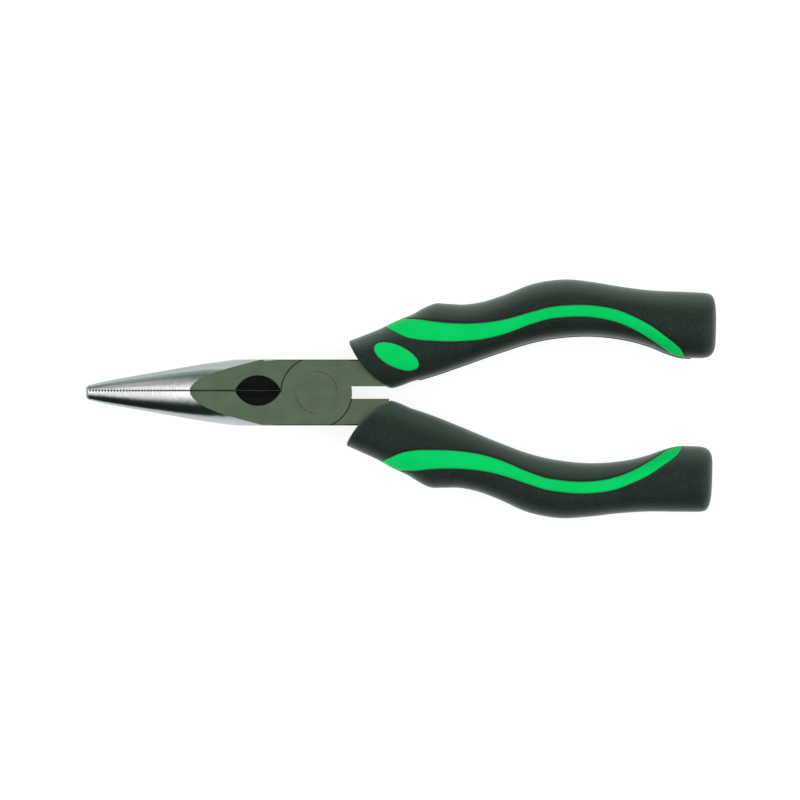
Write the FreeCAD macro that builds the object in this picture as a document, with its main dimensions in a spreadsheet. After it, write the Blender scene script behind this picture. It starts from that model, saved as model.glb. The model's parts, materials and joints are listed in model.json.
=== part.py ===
import FreeCAD, Part
import math
import os
import Sketcher

# Needle nose pliers with a side cutter, in millimetres. Two forged levers cross in a lap joint on a flush
# rivet. Each tang carries a hard core, a soft cover with a collar, and coloured inlays.
# Every piece is drawn about the rivet's axis: -X to the tip, +X to the handles, Z along the rivet.
# A lever is drawn with its jaw below the mating line, its lap plate in front and its tang above. The other
# lever is the same forging turned over about X, apart from the cutter's relief, which both open to the
# front.

doc = FreeCAD.newDocument("needle_nose_pliers")
sheet = doc.addObject("Spreadsheet::Sheet", "sizes")

HEAD = {
    "tip_reach": 58.7,            # rivet axis to the nose tip
    "head_width": 16.8,           # across the parallel sides at the joint
    "head_thickness": 9.5,        # between the two ground faces
    "lap_over": 0.6,              # the round lap plates' radius, past half of the head's width
    "lap_radius": "=head_width / 2 + lap_over",
    "lap_clearance": 0.05,        # between the two plates
    "shoulder_clearance": 0.1,    # plate rim to the other lever's shoulder
    "edge_bevel": 0.35,           # along the head's long edges
    "bevel_run_out": 0.9,         # how far the bevels run on into the nose's root
    "tip_bevel": 0.55,
    "mating_shift": "=0.03 * head_width",   # the mating line, from the rivet axis towards the upper jaw
    "tip_gap": 0.004,             # jaw face to the mating plane
    "teeth_gap": 0.17,
    "throat_gap": 0.23,
    "tooth_pitch": 0.78,
    "tooth_depth": 0.40,
    "tooth_land": 0.6,            # plain land at the tip
    "web_thickness": 0.6,         # land along the middle of the jaw faces, which closes them
    "teeth_end": 27.9,            # last tooth, from the rivet axis
    "eye_front": 20.8,            # cutter relief, from the rivet axis
    "eye_half_width": 3.9,
    "cutter_web": 2.0,            # steel left behind the relief
    "cutter_edge": 0.3,
    "cut_margin": 1.0,            # how far a cutting outline passes beyond the metal
    "fine_margin": 0.1,           # the same, at the mating line
}
RIVET = {
    "rivet_radius": 3.3,
    "rivet_head_radius": 5.35,
    "rivet_clearance": 0.04,      # radial, in the front lever only
}
HANDLE = {
    "handle_reach": 101.3,        # rivet axis to the end of the grips
    "handle_lean": 1.46,          # degrees that both handles turn clockwise about the rivet
    "tang_gap": 3.15,             # between the two tangs
    "tang_bend": 17.5,            # where a tang leaves the head's line
    "tang_width": 7.0,
    "tang_thickness": 6.0,
    "tang_root_back": 3.0,        # the leaning tang's overlap with the head
    "tang_root_in": 1.0,
    "grip_half": 8.5,             # half of the grip's thickness
    "grip_corner": 5.5,
    "cover_wall": 2.2,
    "inlay_floor": 3.4,           # lowest level that an inlay reaches, above the middle plane
    "mouth_radius": 26.0,
    "mouth_outer_at": 8.0,        # ends of the collar's curved mouth, along and across from the rivet axis
    "mouth_outer": 12.7,
    "mouth_inner_at": 18.5,
    "mouth_inner": 1.2,
    "end_half": 5.6,              # half thickness and corner at the very end
    "end_corner": 3.0,
    "badge_at": 20.1,
    "badge_out": 9.7,
    "badge_tilt": -24.0,
    "badge_half_length": 6.2,
    "badge_half_width": 2.8,
    "badge_depth": 2.0,
}
# Stations along the nose: share of tip_reach, then half of its width and of its thickness before milling, as
# shares of half of the head's. The first is behind the tip's bevel, the last is where the head starts.
NOSE = [
    (0.9906, 0.220, 0.284), (0.714, 0.601, 0.695), (0.550, 0.804, 1.0), (0.453, 0.912, 1.263),
    (0.383, 0.976, 1.484), (0.300, 1.072, 1.75), (0.213, 1.18, 2.04),
]
ROOT = f"sizes.nose_share_{len(NOSE)} * sizes.tip_reach"
# Stations along the grip: share of handle_reach, then the outer and inner edge from the mirror axis.
GRIP = [
    (0.06, 12.4, 1.2), (0.12, 15.2, 1.3), (0.17, 17.7, 1.4), (0.215, 19.7, 2.4), (0.29, 23.5, 5.0),
    (0.36, 23.35, 7.6), (0.46, 25.9, 11.5), (0.535, 29.1, 14.1), (0.625, 30.5, 15.8), (0.687, 29.95, 16.2),
    (0.76, 28.9, 15.6), (0.835, 28.2, 13.8), (0.913, 28.05, 11.3), (0.955, 27.9, 11.5), (0.985, 25.4, 12.3),
    (1.0, 21.0, 14.2),
]
LAST_FULL = 14                    # the last station of full thickness; the rest round off the end
CORE_STATIONS = range(5, LAST_FULL)
TANG_STATIONS = range(5, 13)
# Stations along the inlay: share of handle_reach, then its inner and outer edge from the mirror axis.
STRIPE = [
    (0.170, 17.0, 18.6), (0.192, 15.5, 19.7), (0.215, 14.75, 20.2), (0.25, 14.0, 19.4),
    (0.29, 13.8, 18.85), (0.36, 13.9, 18.55), (0.46, 15.75, 19.7), (0.535, 18.7, 22.0),
    (0.625, 20.7, 23.85), (0.687, 20.8, 23.95), (0.76, 19.25, 22.6), (0.835, 15.4, 19.05),
    (0.879, 12.2, 16.05), (0.92, 10.4, 12.4),
]


def fill_sheet():
    """One row for each size: its name, and its value under the same alias."""
    rows = {}
    for group in (HEAD, RIVET, HANDLE):
        rows.update(group)
    for number, (share, wide, thick) in enumerate(NOSE, 1):
        rows[f"nose_share_{number}"] = share
        rows[f"nose_wide_{number}"] = wide
        rows[f"nose_thick_{number}"] = thick
    for number, (share, outer, inner) in enumerate(GRIP, 1):
        rows[f"grip_share_{number}"] = share
        rows[f"grip_outer_{number}"] = outer
        rows[f"grip_inner_{number}"] = inner
    for number, (share, inner, outer) in enumerate(STRIPE, 1):
        rows[f"stripe_share_{number}"] = share
        rows[f"stripe_inner_{number}"] = inner
        rows[f"stripe_outer_{number}"] = outer
    for name in ("middle_at", "middle_out", "floor_below"):
        rows[name] = 0.0
    for line, (name, amount) in enumerate(rows.items(), 1):
        sheet.set(f"A{line}", name)
        sheet.set(f"B{line}", str(amount))
        sheet.setAlias(f"B{line}", name)
    doc.recompute()


def value(expression):
    """The present value of an expression on the sheet."""
    result = sheet.evalExpression(expression)
    return float(getattr(result, "Value", result))


def vector(x, y, z=0.0):
    return FreeCAD.Vector(x, y, z)


def new_body(name):
    body = doc.addObject("PartDesign::Body", name)
    body.Label = name
    return body


def place(item, turned_over):
    """Put a finished piece in the tool's frame: the rear lever's pieces turned over about X, and all of them
    moved so that the origin lies under the middle of the tool, on the surface it lies on."""
    half_turn = 180 if turned_over else 0
    item.Placement = FreeCAD.Placement(vector(0, 0), FreeCAD.Rotation(vector(1, 0), half_turn))
    item.setExpression("Placement.Base.x", "-sizes.middle_at")
    item.setExpression("Placement.Base.y", "-sizes.middle_out")
    item.setExpression("Placement.Base.z", "sizes.floor_below")


def new_sketch(body, name, plane, offset="0", turn=None):
    """Empty sketch on one of the body's own planes, moved along its normal and turned in its plane."""
    sketch = body.newObject("Sketcher::SketchObject", name)
    support = [item for item in body.Origin.OriginFeatures if item.Role == plane][0]
    sketch.AttachmentSupport = [(support, "")]
    sketch.MapMode = "FlatFace"
    sketch.setExpression("AttachmentOffset.Base.z", offset)
    if turn:
        sketch.setExpression("AttachmentOffset.Rotation.Angle", turn)
    return sketch


def add_profile(sketch, points):
    """Closed outline. A point is (x, y), or (x, y, radius) where an arc runs on to the next point:
    anticlockwise for a plus sign, clockwise for a minus sign."""
    count = len(points)
    places = [vector(value(point[0]), value(point[1])) for point in points]
    edges = []
    for number, point in enumerate(points):
        start = places[number]
        end = places[(number + 1) % count]
        if len(point) == 2:
            edge = sketch.addGeometry(Part.LineSegment(start, end), False)
            edges.append((edge, 1, 2))
            continue
        clockwise = point[2].startswith("-")
        radius = abs(value(point[2]))
        half = (end - start) * 0.5
        height = math.sqrt(max(radius ** 2 - half.Length ** 2, 0.0))
        side = vector(half.y, -half.x) if clockwise else vector(-half.y, half.x)
        centre = start + half + side.normalize() * height
        first, last = (end, start) if clockwise else (start, end)
        angles = [math.atan2(item.y - centre.y, item.x - centre.x) for item in (first, last)]
        circle = Part.Circle(centre, vector(0, 0, 1), radius)
        edge = sketch.addGeometry(Part.ArcOfCircle(circle, angles[0], angles[1]), False)
        edges.append((edge, 2, 1) if clockwise else (edge, 1, 2))
        rule = sketch.addConstraint(Sketcher.Constraint("Radius", edge, radius))
        sketch.setExpression(f"Constraints[{rule}]", point[2].lstrip("-"))
    for number, (edge, start, end) in enumerate(edges):
        following = edges[(number + 1) % count]
        sketch.addConstraint(Sketcher.Constraint("Coincident", edge, end, following[0], following[1]))
        for kind, expression in (("DistanceX", points[number][0]), ("DistanceY", points[number][1])):
            rule = sketch.addConstraint(Sketcher.Constraint(kind, -1, 1, edge, start, value(expression)))
            sketch.setExpression(f"Constraints[{rule}]", expression)
    return sketch


def profile(body, name, plane, points, offset="0", turn=None):
    return add_profile(new_sketch(body, name, plane, offset, turn), points)


def box_points(left, right, low, high):
    return [(left, low), (right, low), (right, high), (left, high)]


def constrain_ellipse(sketch, edge, centre, upright, half_long, half_short):
    """Hold an ellipse, or an arc of one, by its centre and its two axes."""
    sketch.exposeInternalGeometry(edge)
    sketch.addConstraint(Sketcher.Constraint("Vertical" if upright else "Horizontal", edge + 1))
    rules = (
        ("DistanceX", (-1, 1, edge, 3), centre[0]),
        ("DistanceY", (-1, 1, edge, 3), centre[1]),
        ("Distance", (edge + 1,), f"2 * ({half_long})"),
        ("Distance", (edge + 2,), f"2 * ({half_short})"),
    )
    for kind, ends, expression in rules:
        rule = sketch.addConstraint(Sketcher.Constraint(kind, *ends, value(expression)))
        sketch.setExpression(f"Constraints[{rule}]", expression)


def half_oval(body, name, place, line, half_width, half_height):
    """Section of a jaw across its length: half of an oval, from the mating line outwards."""
    sketch = new_sketch(body, name, "YZ_Plane", place)
    centre = vector(value(line), 0)
    up = vector(0, value(half_height))
    out = vector(-value(half_width), 0)
    upright = up.Length > out.Length
    if upright:
        ellipse, first = Part.Ellipse(centre + up, centre + out, centre), 0.0
    else:
        ellipse, first = Part.Ellipse(centre - out, centre + up, centre), math.pi / 2
    edge = sketch.addGeometry(Part.ArcOfEllipse(ellipse, first, first + math.pi), False)
    sizes = (half_height, half_width) if upright else (half_width, half_height)
    constrain_ellipse(sketch, edge, (line, "0"), upright, *sizes)
    flat = sketch.addGeometry(Part.LineSegment(centre - up, centre + up), False)
    sketch.addConstraint(Sketcher.Constraint("Coincident", edge, 2, flat, 1))
    sketch.addConstraint(Sketcher.Constraint("Coincident", flat, 2, edge, 1))
    for end in (1, 2):
        rule = sketch.addConstraint(Sketcher.Constraint("DistanceX", -1, 1, flat, end, value(line)))
        sketch.setExpression(f"Constraints[{rule}]", line)
    return sketch


def loft(body, name, sketches, ruled=False):
    feature = body.newObject("PartDesign::AdditiveLoft", name)
    feature.Profile = sketches[0]
    feature.Sections = sketches[1:]
    feature.Ruled = ruled
    body.Tip = feature
    return feature


def pad(body, name, sketch, length):
    feature = body.newObject("PartDesign::Pad", name)
    feature.Profile = sketch
    feature.setExpression("Length", length)
    feature.Midplane = True
    body.Tip = feature
    return feature


def pocket(body, name, sketch, length=None, reverse=False, both_ways=False):
    """Cut, against the sketch's normal unless reversed. It must remove metal."""
    doc.recompute()
    before = body.Shape.Volume
    feature = body.newObject("PartDesign::Pocket", name)
    feature.Profile = sketch
    feature.Reversed = reverse
    feature.Midplane = both_ways
    if length is None:
        feature.Type = 1
    else:
        feature.setExpression("Length", length)
    body.Tip = feature
    doc.recompute()
    if not body.Shape.Volume < before:
        raise RuntimeError(f"{name} cuts nothing")
    return feature


# ---- levers ----------------------------------------------------------------------------------------

def nose(body, line):
    """Tapering nose of half-oval section, with a small bevel round its tip. It goes on widening to its root,
    where it is wider and thicker than the head, so that the milled faces and sides cut it in long curves.
    The line is the mating line's place across the tool."""
    ovals = []
    for number in range(1, len(NOSE) + 1):
        place = f"-sizes.nose_share_{number} * sizes.tip_reach"
        half_width = f"sizes.nose_wide_{number} * sizes.head_width / 2 + {line}"
        half_height = f"sizes.nose_thick_{number} * sizes.head_thickness / 2"
        ovals.append(half_oval(body, f"{body.Name}_nose_{number}", place, line, half_width, half_height))
    ends = []
    for word, place, inset in (("end", "-sizes.tip_reach", "sizes.tip_bevel"),
                               ("rim", "-sizes.nose_share_1 * sizes.tip_reach", "0")):
        half_width = f"sizes.nose_wide_1 * sizes.head_width / 2 + {line} - {inset}"
        half_height = f"sizes.nose_thick_1 * sizes.head_thickness / 2 - {inset}"
        ends.append(half_oval(body, f"{body.Name}_tip_{word}", place, line, half_width, half_height))
    doc.recompute()
    loft(body, f"{body.Name}_tip_end", ends, ruled=True)
    loft(body, f"{body.Name}_nose", ovals)
    doc.recompute()


def cut_to_half(body, line):
    """Jaw face, from the tip to the rivet: a hair's gap at the tip that widens to the throat, and closed
    cutting edges behind it."""
    ahead = "-sizes.tip_reach - sizes.cut_margin"
    outline = [
        (ahead, f"{line} - sizes.tip_gap"),
        ("-sizes.teeth_end", f"{line} - sizes.teeth_gap"),
        ("-sizes.eye_front", f"{line} - sizes.throat_gap"),
        ("-sizes.eye_front", f"{line} - sizes.tip_gap"),
        ("0", f"{line} - sizes.tip_gap"),
        ("0", "sizes.head_width"),
        (ahead, "sizes.head_width"),
    ]
    sketch = profile(body, f"{body.Name}_jaw_face", "XY_Plane", outline)
    pocket(body, f"{body.Name}_half", sketch, both_ways=True)


def mill_root(body):
    """The nose's root cut level with the joint's two faces and its parallel sides."""
    beyond = f"sizes.nose_thick_{len(NOSE)} * sizes.head_thickness"
    for word, low, high in (("front", "sizes.head_thickness / 2", beyond),
                            ("rear", f"-{beyond}", "-sizes.head_thickness / 2")):
        outline = box_points("-sizes.head_width", "sizes.head_width", low, high)
        sketch = profile(body, f"{body.Name}_{word}_face_outline", "YZ_Plane", outline)
        pocket(body, f"{body.Name}_{word}_face", sketch, both_ways=True)
    outline = box_points("-sizes.tip_reach", "0", "-sizes.head_width", "-sizes.head_width / 2")
    sketch = profile(body, f"{body.Name}_side_outline", "XY_Plane", outline)
    pocket(body, f"{body.Name}_side", sketch, both_ways=True)


def head_points(line):
    """Jaw root, round lap plate between parallel sides, and the tang up to its bend."""
    side = "sizes.head_width / 2"
    inner = "sizes.tang_gap / 2"
    at_side = f"sqrt(sizes.lap_radius ^ 2 - ({side}) ^ 2)"
    at_inner = f"sqrt(sizes.lap_radius ^ 2 - ({inner}) ^ 2)"
    at_line = f"sqrt(sizes.lap_radius ^ 2 - ({line} - sizes.tip_gap) ^ 2)"
    return [
        (f"-{ROOT}", f"{line} - sizes.tip_gap"),
        (f"-{ROOT}", f"-{side}"),
        (at_side, f"-{side}", "sizes.lap_radius"),
        (at_inner, inner),
        ("sizes.tang_bend + sizes.tang_root_in", inner),
        ("sizes.tang_bend", side),
        (f"-{at_side}", side, "sizes.lap_radius"),
        (f"-{at_line}", f"{line} - sizes.tip_gap"),
    ]


def add_tang(body, lean):
    """Thinner bar that follows the middle of the grip, leaning with it."""
    half = "sizes.tang_width / 2"
    middles = []
    for number in TANG_STATIONS:
        along = f"sizes.grip_share_{number} * sizes.handle_reach"
        across = f"(sizes.grip_outer_{number} + sizes.grip_inner_{number}) / 2"
        middles.append((along, across))
    under = [(along, f"{across} - {half}") for along, across in middles]
    over = [(along, f"{across} + {half}") for along, across in reversed(middles)]
    root = [("sizes.tang_bend - sizes.tang_root_back", "sizes.head_width / 2 - sizes.tang_root_in"),
            ("sizes.tang_bend", "sizes.tang_gap / 2 + sizes.tang_root_in")]
    sketch = profile(body, f"{body.Name}_tang_outline", "XY_Plane", root + under + over, turn=lean)
    pad(body, f"{body.Name}_tang", sketch, "sizes.tang_thickness")


def circle_sketch(body, name, radius, offset="0"):
    sketch = new_sketch(body, name, "XY_Plane", offset)
    edge = sketch.addGeometry(Part.Circle(vector(0, 0), vector(0, 0, 1), value(radius)), False)
    sketch.addConstraint(Sketcher.Constraint("Coincident", edge, 3, -1, 1))
    rule = sketch.addConstraint(Sketcher.Constraint("Radius", edge, value(radius)))
    sketch.setExpression(f"Constraints[{rule}]", radius)
    return sketch


def cut_lap(body):
    """The rear half of the lap, where the other lever's plate turns."""
    sketch = circle_sketch(body, f"{body.Name}_lap_circle", "sizes.lap_radius + sizes.shoulder_clearance",
                           "sizes.lap_clearance / 2")
    pocket(body, f"{body.Name}_lap", sketch, "sizes.head_thickness")


def cut_eye(body, line, eye_side):
    """Lens-shaped relief over the cutters. The steel left behind it is ground to an edge on the mating
    line."""
    half_length = "(sizes.eye_front - sizes.lap_radius) / 2"
    radius = f"(({half_length}) ^ 2 + sizes.eye_half_width ^ 2) / (2 * sizes.eye_half_width)"
    lens = [("-sizes.eye_front", line, radius), ("-sizes.lap_radius", line, radius)]
    face = "sizes.head_thickness / 2" if eye_side > 0 else "-sizes.head_thickness / 2"
    sketch = profile(body, f"{body.Name}_eye_outline", "XY_Plane", lens, face)
    pocket(body, f"{body.Name}_eye", sketch, "sizes.head_thickness - sizes.cutter_web", reverse=eye_side < 0)
    sign = "-1" if eye_side > 0 else "1"
    back = f"{sign} * sizes.head_thickness / 2"
    floor = f"{sign} * (sizes.head_thickness / 2 - sizes.cutter_web)"
    edge_up = f"{sign} * (sizes.head_thickness / 2 - sizes.cutter_web + sizes.cutter_edge * 4)"
    edge_low = f"{sign} * (sizes.head_thickness / 2 - sizes.cutter_edge)"
    over = f"{line} + sizes.fine_margin"
    bevels = (("bevel", [(over, floor), (f"{line} - sizes.eye_half_width / 2", floor), (over, edge_up)]),
              ("back_bevel", [(over, back), (over, edge_low), (f"{line} - sizes.cutter_edge * 2", back)]))
    inset = "sizes.fine_margin * 4"
    for word, outline in bevels:
        start = f"-sizes.lap_radius - {inset}"
        sketch = profile(body, f"{body.Name}_{word}_outline", "YZ_Plane", outline, start)
        length = f"sizes.eye_front - sizes.lap_radius - 2 * {inset}"
        pocket(body, f"{body.Name}_{word}", sketch, length)


def rivet_points(clearance):
    """Half section of the rivet: a parallel shank between two countersunk heads."""
    head = f"sizes.rivet_head_radius + {clearance}"
    shank = f"sizes.rivet_radius + {clearance}"
    face = "sizes.head_thickness / 2"
    neck = f"({face} - (sizes.rivet_head_radius - sizes.rivet_radius))"
    lower = [("0", f"-{face}"), (head, f"-{face}"), (shank, f"-{neck}")]
    return lower + [(shank, neck), (head, face), ("0", face)]


def cut_rivet_hole(body, clearance):
    sketch = profile(body, f"{body.Name}_rivet_section", "XZ_Plane", rivet_points(clearance))
    doc.recompute()
    before = body.Shape.Volume
    groove = body.newObject("PartDesign::Groove", f"{body.Name}_rivet_hole")
    groove.Profile = sketch
    groove.ReferenceAxis = (sketch, ["V_Axis"])
    groove.Angle = 360
    body.Tip = groove
    doc.recompute()
    if not body.Shape.Volume < before:
        raise RuntimeError(f"{body.Name}: the rivet hole cuts nothing")


def cut_teeth(body, line):
    """Row of fine V grooves across the jaw face, from the tip's land to the smooth throat."""
    first = "-(sizes.tip_reach - sizes.tooth_land)"
    over = f"{line} + sizes.fine_margin"
    bottom = f"{line} - sizes.tooth_depth - sizes.tip_gap"
    middle = f"{first} + sizes.tooth_pitch / 2"
    outline = [(first, over), (middle, bottom), (f"{first} + sizes.tooth_pitch", over)]
    sketch = profile(body, f"{body.Name}_tooth_outline", "XY_Plane", outline)
    tooth = pocket(body, f"{body.Name}_tooth", sketch, both_ways=True)
    row = body.newObject("PartDesign::LinearPattern", f"{body.Name}_teeth")
    row.Originals = [tooth]
    row.Direction = (sketch, ["H_Axis"])
    count = "floor((sizes.tip_reach - sizes.tooth_land - sizes.teeth_end) / sizes.tooth_pitch)"
    row.setExpression("Occurrences", count)
    row.setExpression("Length", f"sizes.tooth_pitch * ({count} - 1)")
    body.Tip = row
    doc.recompute()


def add_web(body, line):
    """Thin land along the middle of the jaw face. It fills the teeth and the throat up to the mating line,
    so that shut jaws let nothing through."""
    outline = box_points("-(sizes.tip_reach - sizes.tooth_land)", "-sizes.eye_front",
                         f"{line} - 2 * sizes.tooth_depth", f"{line} - sizes.tip_gap")
    sketch = profile(body, f"{body.Name}_web_outline", "XY_Plane", outline)
    pad(body, f"{body.Name}_web", sketch, "sizes.web_thickness")


def bevel_long_edges(body):
    """Small bevel on the four long edges of the head, from the nose's root to the tang's bend."""
    side = "sizes.head_width / 2"
    face = "sizes.head_thickness / 2"
    bevel = "sizes.edge_bevel"
    past = "sizes.fine_margin"
    start = f"{ROOT} + sizes.bevel_run_out"
    sketch = new_sketch(body, f"{body.Name}_bevel_section", "YZ_Plane", f"-({start})")
    for across in ("-1", "1"):
        for up in ("-1", "1"):
            add_profile(sketch, [
                (f"{across} * ({side} - {bevel} - {past})", f"{up} * ({face} + {past})"),
                (f"{across} * ({side} + {past})", f"{up} * ({face} + {past})"),
                (f"{across} * ({side} + {past})", f"{up} * ({face} - {bevel} - {past})"),
            ])
    pocket(body, f"{body.Name}_bevel", sketch, f"{start} + sizes.tang_bend", reverse=True)


def build_lever(name, turned_over, clearance, lean):
    """One forging. The relief over the cutters opens to the front of the tool on both levers."""
    line = "-sizes.mating_shift" if turned_over else "sizes.mating_shift"
    body = new_body(name)
    nose(body, line)
    cut_to_half(body, line)
    mill_root(body)
    sketch = profile(body, f"{name}_head_outline", "XY_Plane", head_points(line))
    pad(body, f"{name}_head", sketch, "sizes.head_thickness")
    bevel_long_edges(body)
    cut_lap(body)
    cut_eye(body, line, -1 if turned_over else 1)
    cut_rivet_hole(body, clearance)
    cut_teeth(body, line)
    add_web(body, line)
    add_tang(body, lean)
    place(body, turned_over)
    return body


def build_rivet(name):
    """Solid rivet, set fast in the rear lever, with both heads ground level."""
    body = new_body(name)
    sketch = profile(body, f"{name}_section", "XZ_Plane", rivet_points("0"))
    turn = body.newObject("PartDesign::Revolution", f"{name}_turned")
    turn.Profile = sketch
    turn.ReferenceAxis = (sketch, ["V_Axis"])
    turn.Angle = 360
    body.Tip = turn
    place(body, turned_over=False)
    return body


# ---- handles ---------------------------------------------------------------------------------------

def lean_form(body, lean):
    body.Placement = FreeCAD.Placement(vector(0, 0), FreeCAD.Rotation(vector(0, 0, 1), 1))
    body.setExpression("Placement.Rotation.Angle", lean)


def rounded_section(body, name, number, inset):
    """Rounded rectangle across the grip at one station. Past the last full station it grows thinner."""
    half = {LAST_FULL + 1: "(2 * sizes.grip_half + sizes.end_half) / 3", LAST_FULL + 2: "sizes.end_half"}
    corner = {LAST_FULL + 1: "(2 * sizes.grip_corner + sizes.end_corner) / 3",
              LAST_FULL + 2: "sizes.end_corner"}
    up = f"({half.get(number, 'sizes.grip_half')} - {inset})"
    round_off = f"({corner.get(number, 'sizes.grip_corner')} - {inset})"
    inner = f"(sizes.grip_inner_{number} + {inset})"
    outer = f"(sizes.grip_outer_{number} - {inset})"
    return profile(body, name, "YZ_Plane", [
        (f"{inner} + {round_off}", f"-{up}"),
        (f"{outer} - {round_off}", f"-{up}", round_off),
        (outer, f"{round_off} - {up}"),
        (outer, f"{up} - {round_off}", round_off),
        (f"{outer} - {round_off}", up),
        (f"{inner} + {round_off}", up, round_off),
        (inner, f"{up} - {round_off}"),
        (inner, f"{round_off} - {up}", round_off),
    ], f"sizes.grip_share_{number} * sizes.handle_reach")


def grip_form(name, lean):
    """Outer form of a grip: knee behind the joint, dip, broad swell, waist and rounded end. The collar's
    mouth is a shallow curve that slants across the tang."""
    body = new_body(name)
    stations = range(1, LAST_FULL + 1)
    loft(body, f"{name}_length", [rounded_section(body, f"{name}_{item}", item, "0") for item in stations])
    stations = range(LAST_FULL, len(GRIP) + 1)
    loft(body, f"{name}_end", [rounded_section(body, f"{name}_end_{item}", item, "0") for item in stations])
    mouth = [
        ("0", "-sizes.cut_margin"),
        ("sizes.mouth_inner_at", "-sizes.cut_margin"),
        ("sizes.mouth_inner_at", "sizes.mouth_inner", "-sizes.mouth_radius"),
        ("sizes.mouth_outer_at", "sizes.mouth_outer"),
        ("sizes.mouth_outer_at + sizes.cut_margin", "sizes.grip_outer_2 * 2"),
        ("0", "sizes.grip_outer_2 * 2"),
    ]
    sketch = profile(body, f"{name}_mouth_outline", "XY_Plane", mouth)
    pocket(body, f"{name}_mouth", sketch, both_ways=True)
    lean_form(body, lean)
    return body


def core_form(name, lean):
    body = new_body(name)
    sections = [rounded_section(body, f"{name}_{item}", item, "sizes.cover_wall") for item in CORE_STATIONS]
    loft(body, f"{name}_length", sections)
    lean_form(body, lean)
    return body


def stripe_form(name, lean, low, high):
    """Curved bar that cuts an inlay's outline out of the grip's form."""
    body = new_body(name)
    sections = []
    for number in range(1, len(STRIPE) + 1):
        outline = box_points(f"sizes.stripe_inner_{number}", f"sizes.stripe_outer_{number}", low, high)
        station = f"sizes.stripe_share_{number} * sizes.handle_reach"
        sections.append(profile(body, f"{name}_{number}", "YZ_Plane", outline, station))
    loft(body, f"{name}_length", sections)
    lean_form(body, lean)
    return body


def badge_form(name, lean):
    """Oval prism for the badge on the collar."""
    body = new_body(name)
    sketch = new_sketch(body, f"{name}_outline", "XY_Plane", "sizes.grip_half - sizes.badge_depth",
                        "sizes.badge_tilt")
    sketch.setExpression("AttachmentOffset.Base.x", "sizes.badge_at")
    sketch.setExpression("AttachmentOffset.Base.y", "sizes.badge_out")
    long_end = vector(value("sizes.badge_half_length"), 0)
    short_end = vector(0, value("sizes.badge_half_width"))
    edge = sketch.addGeometry(Part.Ellipse(long_end, short_end, vector(0, 0)), False)
    sizes = ("sizes.badge_half_length", "sizes.badge_half_width")
    constrain_ellipse(sketch, edge, ("0", "0"), False, *sizes)
    feature = pad(body, f"{name}_oval", sketch, "sizes.badge_depth + sizes.cut_margin")
    feature.Midplane = False
    lean_form(body, lean)
    return body


def tang_form(name, lean):
    """The room that the lever takes inside its grip."""
    body = new_body(name)
    sketch = profile(body, f"{name}_head_outline", "XY_Plane", head_points("0"))
    pad(body, f"{name}_head", sketch, "sizes.head_thickness")
    add_tang(body, lean)
    return body


def combine(kind, name, base, tool):
    result = doc.addObject(f"Part::{kind}", name)
    result.Label = name
    result.Base = base
    result.Tool = tool
    return result


def fuse(name, pieces):
    result = doc.addObject("Part::MultiFuse", name)
    result.Shapes = pieces
    return result


def build_handle(side, turned_over, lean, has_badge):
    """Hard core, soft cover and inlays of one handle. The windows for the inlays go through the cover."""
    grip = grip_form(f"{side}_grip_form", lean)
    inside = core_form(f"{side}_core_form", lean)
    tang = tang_form(f"{side}_tang_form", lean)
    floor = "sizes.inlay_floor"
    above = "sizes.grip_half + sizes.cut_margin"
    bars = {
        "near": stripe_form(f"{side}_near_stripe_form", lean, floor, above),
        "far": stripe_form(f"{side}_far_stripe_form", lean, f"-({above})", f"-{floor}"),
    }
    cutters = [inside, tang, bars["near"], bars["far"]]
    pieces = [combine("Cut", f"{side}_grip_core", inside, tang)]
    faces = {"near": "rear", "far": "front"} if turned_over else {"near": "front", "far": "rear"}
    for word, bar in bars.items():
        whole = combine("Common", f"{side}_{word}_stripe_whole", grip, bar)
        pieces.append(combine("Cut", f"{side}_stripe_{faces[word]}", whole, inside))
    if has_badge:
        oval = badge_form(f"{side}_badge_form", lean)
        pieces.append(combine("Common", "badge_front", grip, oval))
        cutters.append(oval)
    pieces.append(combine("Cut", f"{side}_grip_cover", grip, fuse(f"{side}_cover_cutters", cutters)))
    for piece in pieces:
        place(piece, turned_over)
    return pieces


def close_box(shape):
    """Box that holds a shape: what two ways of bounding it agree on."""
    return shape.BoundBox.intersected(shape.optimalBoundingBox())


def centre_frame(pieces):
    """Measure the whole tool about the rivet's axis, and put the frame's origin under its middle."""
    whole = FreeCAD.BoundBox()
    for piece in pieces:
        whole.add(close_box(piece.Shape))
    sheet.set(sheet.getCellFromAlias("middle_at"), str(round((whole.XMin + whole.XMax) / 2, 6)))
    sheet.set(sheet.getCellFromAlias("middle_out"), str(round((whole.YMin + whole.YMax) / 2, 6)))
    sheet.set(sheet.getCellFromAlias("floor_below"), str(round(-whole.ZMin, 6)))
    doc.recompute()


def export(pieces):
    """Write each piece, once every object in the document is sound."""
    faults = [item.Name for item in doc.Objects if "Invalid" in item.State or "Error" in item.State]
    faults += [piece.Label for piece in pieces if piece.Shape.isNull() or not piece.Shape.isValid()]
    faults += [piece.Label for piece in pieces if len(piece.Shape.Solids) != 1]
    if faults:
        raise RuntimeError("unsound objects: " + ", ".join(faults))
    os.makedirs("parts", exist_ok=True)
    for piece in pieces:
        piece.Shape.exportStep(f"parts/{piece.Label}.step")
        box = close_box(piece.Shape)
        lengths = f"{box.XLength:.1f} x {box.YLength:.1f} x {box.ZLength:.1f}"
        print(f"{piece.Label}: {piece.Shape.Volume:.0f} mm3, {lengths}")


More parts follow.
